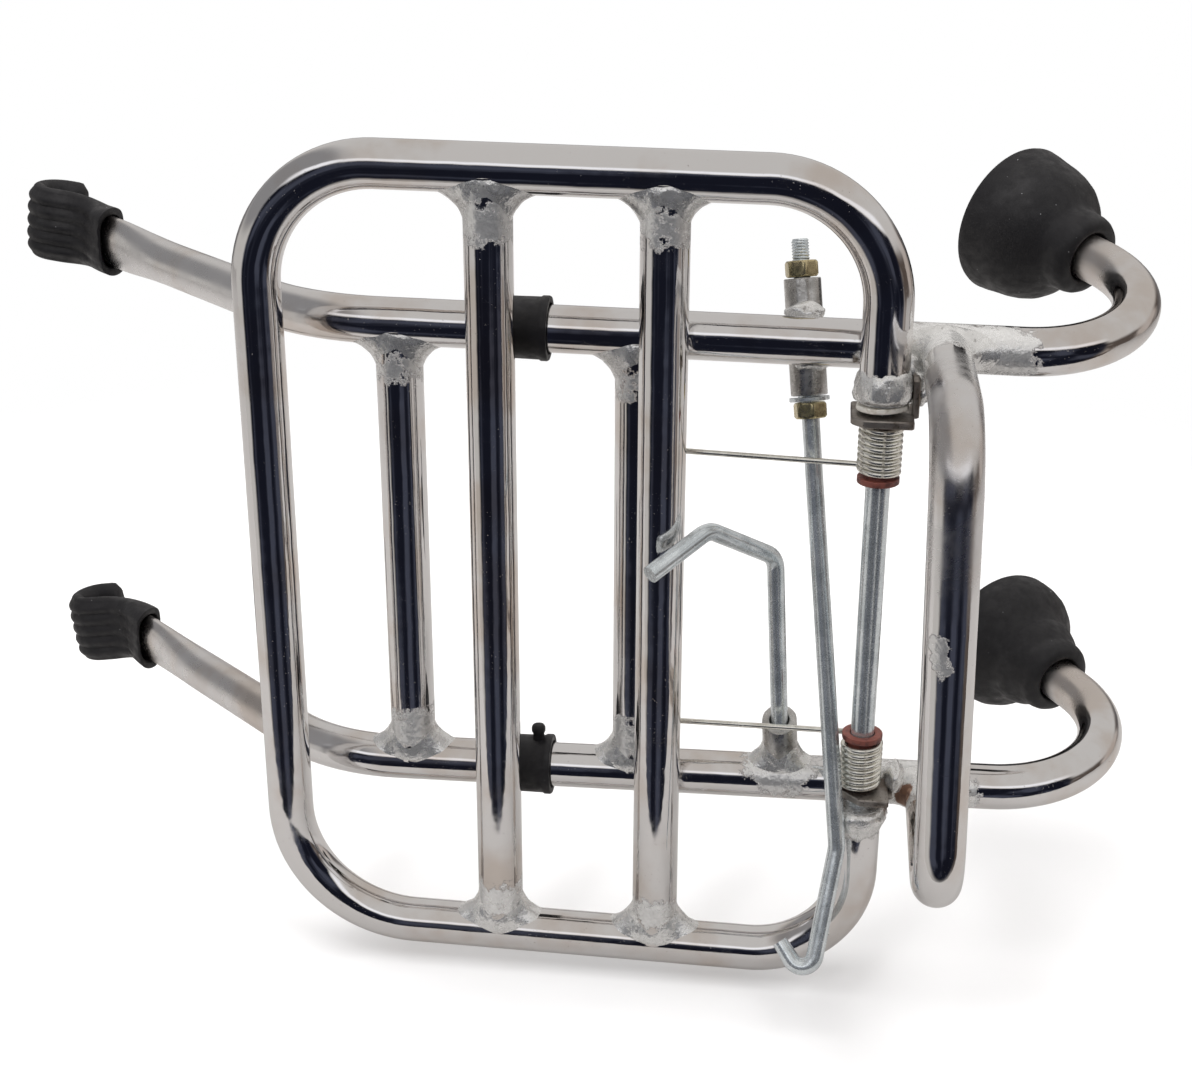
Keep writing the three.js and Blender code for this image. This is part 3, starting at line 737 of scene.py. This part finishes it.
def buffer_button(sign):
    """The band's button fastening: a short neck and a domed head."""
    m = side_matrix(sign)
    reach = Vector((0, 1, 0)) if sign > 0 else Vector((1, 0, 0))
    at = m @ (reach * 9.5 + Vector((0, 0, -46.5)))
    profile = [(0.3, 0), (2.3, 0), (2.1, 1.8), (2, 3), (2.5, 4), (2.5, 5.4), (2.1, 6.2),
               (1.2, 6.55), (0.3, 6.6)]
    points, faces = turned(profile, at, m.to_3x3() @ reach, 28)
    name = f"{SIDES[sign]}_buffer_button"
    add_mesh(name, points, faces, RUBBER, "frame", smooth=50)


# ---- hinge ------------------------------------------------------------------------------------
LUG_OUTER = {1: 63.6, -1: -75}
LUG_THICK, LUG_HALF, LUG_BACK = 2.6, 10, -8.3
LUG_CHAMFER = {1: 4, -1: 10}
LUG_WELD_X = 75.5
HINGE_ROD_R, HINGE_ROD_OVERLAP = 4, 14  # the overlap is inside the rack tube
RACK_END = {1: 67.4, -1: -79}
GAP = 0.3
COIL = dict(radius=6.3, wire=1.0, turns=8, pitch=2.05, steps=40)
ARM_SLANT = {1: 0.5, -1: 4}


def spring(sign):
    """A torsion spring: a short tail, a close coil, and a long arm up to the lower crossbar."""
    start = LUG_OUTER[sign] - sign * (LUG_THICK + COIL["wire"] + GAP)
    r, steps = COIL["radius"], COIL["steps"]
    advance = sign * COIL["pitch"]
    upward = Vector((0, 0, 1))
    stations = [(Vector((start, HINGE_Y + r, HINGE_Z - below)), upward) for below in (7.5, 3)]
    for i in range(COIL["turns"] * steps + 1):
        a = 2 * math.pi * i / steps
        x = start - advance * i / steps
        p = Vector((x, HINGE_Y + r * math.cos(a), HINGE_Z + r * math.sin(a)))
        heading = Vector((-advance / (2 * math.pi), -r * math.sin(a), r * math.cos(a)))
        stations.append((p, heading.normalized()))
    last = stations[-1][0]
    under = CROSSBARS["lower_crossbar"] - TUBE_R - GAP - COIL["wire"]
    top = Vector((last.x - ARM_SLANT[sign], -4.5, under))
    run = (top - last).normalized()
    stations.append((last + run * 3, run))
    stations += [(last.lerp(top, t / 12), run) for t in range(1, 13)]
    points = tube_points(stations, COIL["wire"], 12)
    faces = rings_to_faces(len(stations), 12)
    name = f"{SIDES[sign]}_torsion_spring"
    add_skin(name, points, faces, SPRING, "frame", 60)


def bush(sign):
    at = (LUG_OUTER[sign] - sign * (LUG_THICK + GAP), HINGE_Y, HINGE_Z)
    outline = [(4.3, 0), (4.8, 0), (4.8, 18.8), (6.9, 18.8), (6.9, 20.8), (4.3, 20.8)]
    profile = rounded(outline, 0.25)
    points, faces = turned(profile, at, (-sign, 0, 0), 48, loop=True)
    name = f"{SIDES[sign]}_hinge_bush"
    add_skin(name, points, faces, FIBRE, "rack")


def lug(sign):
    """A plate across the hinge rod, with a tab that is welded to the side tube."""
    outer = LUG_OUTER[sign]
    inner = outer - sign * LUG_THICK
    front, low, high = HINGE_Y - LUG_HALF, HINGE_Z - LUG_HALF, HINGE_Z + LUG_HALF
    chamfer = LUG_CHAMFER[sign]
    outline = [(front, low), (LUG_BACK, low), (LUG_BACK, high),
               (front + chamfer, high), (front, high - chamfer)]
    edge = []
    for i, here in enumerate(outline):
        a, b = Vector(outline[i - 1]), Vector(outline[(i + 1) % len(outline)])
        here = Vector(here)
        edge += [here + (a - here).normalized() * 0.6, here + (b - here).normalized() * 0.6]

    def ray(angle):
        """How far a ray from the hole's centre goes before it leaves the plate."""
        d = Vector((math.cos(angle), math.sin(angle)))
        c = Vector((HINGE_Y, HINGE_Z))
        best = 99.0
        for i, a in enumerate(edge):
            b = edge[(i + 1) % len(edge)]
            side_way = b - a
            cross = d.x * side_way.y - d.y * side_way.x
            if abs(cross) > 1e-9:
                t = ((a - c).x * side_way.y - (a - c).y * side_way.x) / cross
                s = ((a - c).x * d.y - (a - c).y * d.x) / cross
                if t > 0 and -1e-6 <= s <= 1 + 1e-6:
                    best = min(best, t)
        return best

    corners = [math.atan2(p.y - HINGE_Z, p.x - HINGE_Y) for p in edge]
    angles = sorted(corners + [2 * math.pi * k / 30 - math.pi for k in range(30)])
    count = len(angles)
    points = []
    rings = ((None, 0), (0.4, 0), (0, 0.4), (0, LUG_THICK - 0.4), (0.4, LUG_THICK),
             (None, LUG_THICK))
    for inset, depth in rings:
        x = inner + sign * depth
        for a in angles:
            r = HINGE_ROD_R + 0.4 if inset is None else ray(a) - inset
            points.append(Vector((x, HINGE_Y + r * math.cos(a), HINGE_Z + r * math.sin(a))))
    faces = rings_to_faces(6, count, loop=True)
    if sign < 0:
        faces = turned_over(faces)
    name = f"{SIDES[sign]}_hinge_lug"
    add_skin(name, points, faces, PLATE, "frame")
    root, tip = outer - sign, sign * LUG_WELD_X
    lo = Vector((min(root, tip), -22.3, HINGE_Z - 11.5))
    hi = Vector((max(root, tip), LUG_BACK, HINGE_Z - 9.2))
    lug_tab(f"{SIDES[sign]}_lug_tab", lo, hi, 0.5)


def lug_tab(name, lo, hi, bevel):
    """A block with its long edges bevelled: rings across X."""
    rings = []
    for x, inset in ((lo.x, bevel), (lo.x + bevel, 0), (hi.x - bevel, 0), (hi.x, bevel)):
        y0, y1, z0, z1 = lo.y + inset, hi.y - inset, lo.z + inset, hi.z - inset
        c = bevel * 0.7
        rings += [Vector(p) for p in (
            (x, y0 + c, z0), (x, y1 - c, z0), (x, y1, z0 + c), (x, y1, z1 - c),
            (x, y1 - c, z1), (x, y0 + c, z1), (x, y0, z1 - c), (x, y0, z0 + c))]
    add_mesh(name, rings, rings_to_faces(4, 8), PLATE, "frame")


def hinge_washer():
    at = (LUG_OUTER[1] + 1.3, HINGE_Y, HINGE_Z)
    profile = rounded([(4.6, 0), (8.3, 0), (8.3, 1.8), (4.6, 1.8)], 0.4)
    points, faces = turned(profile, at, (1, 0.03, 0.05), 56, loop=True)
    for i, p in enumerate(points):
        out = p - Vector(at)
        out.x = 0
        points[i] = p + out.normalized() * 0.35 * noise.noise(p * 0.5)
    add_skin("hinge_washer", points, faces, NYLON, "rack")


# ---- rods and their fasteners -----------------------------------------------------------------
LONG_AT, LONG_LEAN, LONG_DROP = Vector((80.9, 14.9, -135.7)), 0.27, 0.113
THREAD_DEPTH = 0.448
NUT_FLATS, NUT_THICK = 10, 5.2


def long_at(x):
    """The long rod's axis at a place across the carrier."""
    across = LONG_AT.x - x
    return Vector((x, LONG_AT.y - LONG_LEAN * across, LONG_AT.z - LONG_DROP * across))


LONG_AXIS = (long_at(1) - long_at(0)).normalized()


def long_rod():
    """The long rod: a cut thread on its stud, a long shank and a hooked end."""
    stud, thread = long_at(109.5), long_at(95)
    turns = (stud - thread).length
    stations = [(stud, -LONG_AXIS), (stud - LONG_AXIS * 0.6, -LONG_AXIS)]
    steps = int(turns * 7)
    stations += [(stud.lerp(thread, 0.05 + 0.95 * i / steps), -LONG_AXIS) for i in range(steps + 1)]
    hook = (long_at(-90), (-134, -52, -147.6), (-121.5, -44, -137))
    stations += bent((thread - LONG_AXIS * 0.5, *hook), (12, 4.5), 6)
    sides = 28
    points = []
    for i, (p, u, v) in enumerate(frames(stations)):
        travel = (stud - p).length
        cut = THREAD_DEPTH if 0.5 < travel < turns - 0.3 and i < steps + 3 else 0.0
        for k in range(sides):
            a = 2 * math.pi * k / sides
            phase = (travel + k / sides) % 1
            r = ROD_R - cut * (1 - abs(2 * phase - 1))
            if i == 0:
                r = ROD_R - 0.6
            points.append(p + u * r * math.cos(a) + v * r * math.sin(a))
    last = len(stations) - 1
    for k in range(sides):
        points[last * sides + k] = points[last * sides + k].lerp(stations[last][0], 0.12)
    faces = rings_to_faces(len(stations), sides)
    add_skin("long_hook_rod", points, faces, ZINC, "long_rod", 60)


def short_at(x):
    """The short rod's axis at a place across the carrier."""
    return Vector((x, 0, -132.9 + 0.06 * (x + 57.2)))


def short_out(x, out):
    """A place on the short rod's hooked end, which leans forward of straight up."""
    a = math.radians(46)
    return short_at(x) + Vector((0, -out * math.sin(a), out * math.cos(a)))


def nut(name, x):
    """A hexagon nut on the long rod, with its corners turned down at both faces."""
    at = long_at(x)
    thick = (long_at(x + NUT_THICK) - at).length
    u, v = cross_axes(LONG_AXIS)
    levels = [(3.4, 0, 0), (3.9, 0, 0), (4.9, 0, 1), (5.35, 0.35, 1), (9, 0.8, 1),
              (9, thick - 0.8, 1), (5.35, thick - 0.35, 1), (4.9, thick, 1), (3.9, thick, 0),
              (3.4, thick, 0)]
    count = 72
    points = []
    for limit, height, outer in levels:
        for k in range(count):
            a = 2 * math.pi * k / count
            turn = (a + math.pi / 6) % (math.pi / 3) - math.pi / 6
            hexagon = NUT_FLATS / 2 / math.cos(turn)
            r = min(limit, hexagon) if outer else limit
            points.append(at + LONG_AXIS * height + u * r * math.cos(a) + v * r * math.sin(a))
    faces = rings_to_faces(len(levels), count, loop=True)
    add_skin(name, points, faces, YELLOW, "long_rod", 25)


def split_washer():
    """A spring washer: one cut turn that rises a little from end to end."""
    at = long_at(57.7)
    u, v = cross_axes(LONG_AXIS)
    section = ((3.5, 0.15), (3.7, 0), (6.5, 0), (6.8, 0.2),
               (6.8, 1.2), (6.5, 1.4), (3.7, 1.4), (3.5, 1.25))
    points = []
    count = 60
    for i in range(count):
        a = math.radians(8 + 344 * i / (count - 1))
        out = u * math.cos(a) + v * math.sin(a)
        lift = -0.15 + 0.3 * i / (count - 1)
        for r, h in section:
            points.append(at + out * r + LONG_AXIS * (h + lift))
    faces = turned_over(rings_to_faces(count, len(section)))
    add_skin("long_rod_washer", points, faces, ZINC, "long_rod")


def sleeve(name, start, end, slant=0.0):
    """A slightly uneven sleeve, whose mouth can be cut at a slant."""
    axis = (end - start).normalized()
    length = (end - start).length
    profile = rounded([(BORE_R, 0), (SLEEVE_R, 0), (SLEEVE_R, length), (BORE_R, length)], 0.5)
    points, faces = turned(profile, start, axis, 48, loop=True)
    for i, p in enumerate(points):
        out = p - start
        out -= axis * axis.dot(out)
        if out.length > 6:
            points[i] = p + out.normalized() * 0.16 * noise.noise(p * 0.4)
        points[i] += axis * slant * (out.y - 2) * smoothstep(0.5, 1, (p - start).dot(axis) / length)
    add_skin(name, points, faces, SLEEVE, "frame")


# ---- building ---------------------------------------------------------------------------------
SUPPORT = {1: -181.4, -1: -186.2}
SUPPORT_REACH, SUPPORT_CORNER = 83, 24
RACK = dict(half=139.3, skew=2.6, height=203.8,
            bars={"rack_upper_bar": 126.9, "rack_lower_bar": 70.5})
RACK_CORNERS = (39, 40, 45, 36)
BITE = 2  # how far a welded tube's end goes past the other tube's axis
COLLAR = [(4.4, 2), (4.4, 0.1), (7.2, 0), (9.2, 0.9), (9.9, 3), (9.5, 6), (8.6, 8.6), (7.9, 10.5),
          (7.4, 10.5)]


def at_rack(x, up):
    return Vector((x, HINGE_Y, HINGE_Z + up))


def rack_side(sign, up):
    """The rack tube's axis at a height up its left or right side."""
    return sign * RACK["half"] - RACK["skew"] * (1 - up / RACK["height"])


def side_heading(sign):
    return Vector((sign * math.sin(SPLAY), 0, math.cos(SPLAY)))


def place_marks():
    """Where the plating is roughened by welds, dulled or rusty, with the reach of each place."""
    for sign in (1, -1):
        for z in CROSSBARS.values():
            WELDS.append((Vector((sign * (side_x(z) - 15), 0, z)), 11.5 - sign))
        WELDS.append((Vector((sign * side_x(SUPPORT[sign]), -9, SUPPORT[sign])), 19))
        WELDS.append((Vector((sign * 80, -7, HINGE_Z - 6)), 15))
        for up in RACK["bars"].values():
            WELDS.append((at_rack(rack_side(sign, up) - sign * 15, up), 10 + up / 60))
        WELDS.append((at_rack(RACK_END[sign] + sign * 3, 0), 11))
        DULL.append((hook_matrix(sign, 1) @ Vector((0, -50, -54)), 82))
        _, end, _ = bend(LOW_BEND[sign], sign, -1)
        DULL.append((side_matrix(sign) @ end, 40))
    WELDS.append((Vector((side_x(SUPPORT[1]), -9, SUPPORT[1] - 16)), 15))
    WELDS.append((Vector((78, 8, -136)), 13))
    WELDS.append((Vector((-74, -1, -133.5)), 15))
    WELDS.append((Vector((14, -90, SUPPORT[-1] + 7)), 4.5))
    WELDS.append((Vector((8, -90.5, SUPPORT[-1] + 5)), 4))
    DULL.append((Vector((side_x(SUPPORT[1]) - 8, -75, SUPPORT[1])), 50))
    RUSTY.append((Vector((-80, -13, SUPPORT[-1] + 7)), 6.5))


def build_frame():
    for sign in (1, -1):
        side_tube(sign)
        hook_strap(sign)
        hook_boot(sign)
        suction_cup(sign)
        buffer_band(sign)
        buffer_button(sign)
        spring(sign)
        bush(sign)
        lug(sign)
    for name, z in CROSSBARS.items():
        x = side_x(z) - BITE
        tube(name, bent(((-x, 0, z), (x, 0, z))), TUBE_R, CHROME, "frame")
        for sign in (1, -1):
            at = (sign * side_x(z), 0, z)
            weld_bead(f"{name}_weld_{SIDES[sign]}", side_heading(sign), at, TUBE_R,
                      (-sign, 0, 0), at, TUBE_R, "frame", seed=z + 7 * sign)
    ends = {s: (s * side_x(SUPPORT[s]), SUPPORT[s]) for s in (1, -1)}
    corners = [(ends[s][0], -y, ends[s][1])
               for s, y in ((-1, BITE), (-1, SUPPORT_REACH), (1, SUPPORT_REACH), (1, BITE))]
    stations = bent(corners, (SUPPORT_CORNER, SUPPORT_CORNER))
    tube("support_bar", stations, TUBE_R, CHROME, "frame")
    for sign in (1, -1):
        at = (ends[sign][0], 0, ends[sign][1])
        weld_bead(f"support_weld_{SIDES[sign]}", side_heading(sign), at, TUBE_R,
                  (0, -1, 0), at, TUBE_R, "frame", 9.5, 4, 3 * sign)
        high, low = (sign * LUG_WELD_X, -9.5, HINGE_Z - 7), (sign * 70.5, -14, HINGE_Z - 12)
        weld_lump(f"lug_weld_{SIDES[sign]}", high, (5.5, 4.2, 6.5), sign)
        weld_lump(f"lug_weld_low_{SIDES[sign]}", low, (5.6, 6.5, 3.4), 5 + sign)


def build_rack():
    h = RACK["height"]
    corners = [at_rack(RACK_END[1], 0), at_rack(rack_side(1, 0), 0), at_rack(rack_side(1, h), h),
               at_rack(rack_side(-1, h), h), at_rack(rack_side(-1, 0), 0), at_rack(RACK_END[-1], 0)]
    tube("rack_frame", bent(corners, RACK_CORNERS), TUBE_R, CHROME, "rack")
    for name, up in RACK["bars"].items():
        shift = RACK["skew"] * (1 - up / h)
        x = RACK["half"] - BITE
        stations = bent((at_rack(-x - shift, up), at_rack(x - shift, up)))
        tube(name, stations, TUBE_R, CHROME, "rack")
        for sign in (1, -1):
            run = at_rack(rack_side(sign, h), h) - at_rack(rack_side(sign, 0), 0)
            at = at_rack(rack_side(sign, up), up)
            weld_bead(f"{name}_weld_{SIDES[sign]}", run, at, TUBE_R,
                      (-sign, 0, 0), at, TUBE_R, "rack", seed=up + sign)
    for sign in (1, -1):
        at = at_rack(RACK_END[sign], 0)
        weld_collar(f"rack_end_weld_{SIDES[sign]}", at, (sign, 0, 0), COLLAR, "rack", sign)
    rod_ends = [at_rack(RACK_END[s] + s * HINGE_ROD_OVERLAP, 0) for s in (-1, 1)]
    tube("hinge_rod", bent(rod_ends), HINGE_ROD_R, ZINC, "rack", 32)
    hinge_washer()


def build_rods():
    sleeve("long_rod_sleeve", long_at(59.5), long_at(97))
    weld_lump("long_sleeve_weld_low", (73, 8.6, -138), (5.2, 4.4, 6.4), 2.5)
    weld_lump("long_sleeve_weld_high", (88, 9.6, -135.5), (3.6, 3.8, 6.3), 4.5)
    long_rod()
    nut("long_rod_outer_nut", 97.4)
    nut("long_rod_inner_nut", 52.1)
    split_washer()
    sleeve("short_rod_sleeve", short_at(-72.2), short_at(-57.2), 0.45)
    root = short_at(-80)
    weld_bead("short_sleeve_weld", side_heading(-1), (-side_x(root.z), 0, root.z), TUBE_R,
              (1, 0, 0.06), root, SLEEVE_R, "frame", 5.5, 6, 5)
    corners = (short_at(-70.7), short_at(4), short_out(21.2, 30), short_out(12, 56))
    tube("short_hook_rod", bent(corners, (8, 8)), ROD_R, ZINC, "short_rod", 28)


def light_scene():
    """A room that is pale above, behind and at the left, and dark on the camera's side."""
    scene = bpy.context.scene
    scene.view_settings.view_transform = "Standard"
    sky = bpy.data.worlds.new("studio")
    sky.use_nodes = True
    scene.world = sky
    n = Nodes(sky.node_tree)
    way = n.put("ShaderNodeTexCoord").outputs["Generated"]
    up = n.put("ShaderNodeSeparateXYZ", {0: way}).outputs[0]

    def along(direction):
        node = n.put("ShaderNodeVectorMath", {0: way, 1: direction}, operation="DOT_PRODUCT")
        return node.outputs["Value"]

    front, right = along((0, -0.992, -0.125)), along((0, 0.125, -0.992))
    streaks = n.put("ShaderNodeTexNoise", {"Vector": way, "Scale": 2.6, "Detail": 1.5})
    streaks = streaks.outputs["Fac"]
    room = n.mix(n.ramp(up, -0.3, 0.35), rgb(0.42, 0.4, 0.385), rgb(0.6, 0.58, 0.565))
    room = n.mix(n.ramp(right, -0.3, -0.7), room, rgb(0.55, 0.53, 0.51))
    corner = n.math("MULTIPLY", n.ramp(right, -0.35, -0.6), n.ramp(up, 0.02, 0.2))
    room = n.mix(corner, room, rgb(0.27, 0.265, 0.27))
    brown = n.mix(n.ramp(streaks, 0.42, 0.6), rgb(0.1, 0.08, 0.07), rgb(0.5, 0.45, 0.42))
    low = n.ramp(up, 0.3, 0.1)
    room = n.mix(n.math("MULTIPLY", n.ramp(right, 0.45, 0.75), low), room, brown)
    behind = n.math("MULTIPLY", n.ramp(front, -0.5, -0.75), n.ramp(up, 0.16, 0.04))
    room = n.mix(n.math("MULTIPLY", behind, 0.8), room, rgb(0.12, 0.115, 0.12))
    window = n.math("MULTIPLY", n.ramp(up, 0.33, 0.4), n.ramp(up, 0.56, 0.48))
    room = n.mix(n.math("MULTIPLY", window, n.ramp(front, 0.3, 0.6)), room, rgb(1, 1, 1.04))
    dim = n.mix(n.ramp(streaks, 0.45, 0.66), rgb(0.008, 0.009, 0.016), rgb(0.055, 0.06, 0.085))
    room = n.mix(n.math("MULTIPLY", n.ramp(front, 0.36, 0.52), n.ramp(up, 0.36, 0.3)), room, dim)
    seen = n.put("ShaderNodeLightPath").outputs["Is Camera Ray"]
    room = n.mix(seen, room, rgb(1, 1, 1))
    back = n.put("ShaderNodeBackground", {"Color": room, "Strength": 1.0})
    n.put("ShaderNodeOutputWorld", {"Surface": back.outputs[0]})
    middle = Vector((0, -0.1, -0.25))
    area("overhead", (1.3, -0.3, -0.2), middle, (1.6, 1.6), 22)
    area("front", (0.72, -1.25, 0.2), middle, (0.9, 0.22), 5)
    area("back", (0.6, 1.2, 0.1), middle, (1.2, 1.2), 9)

    points = [(-0.155, y, z) for y in (-0.25, 1.15) for z in (-2, 1.6)]
    mesh = bpy.data.meshes.new("floor")
    mesh.from_pydata(points, [], [(0, 2, 3, 1)])
    mesh.materials.append(floor_material())
    floor = bpy.data.objects.new("floor", mesh)
    bpy.context.collection.objects.link(floor)


make_camera()
place_marks()
build_frame()
build_rack()
build_rods()
light_scene()
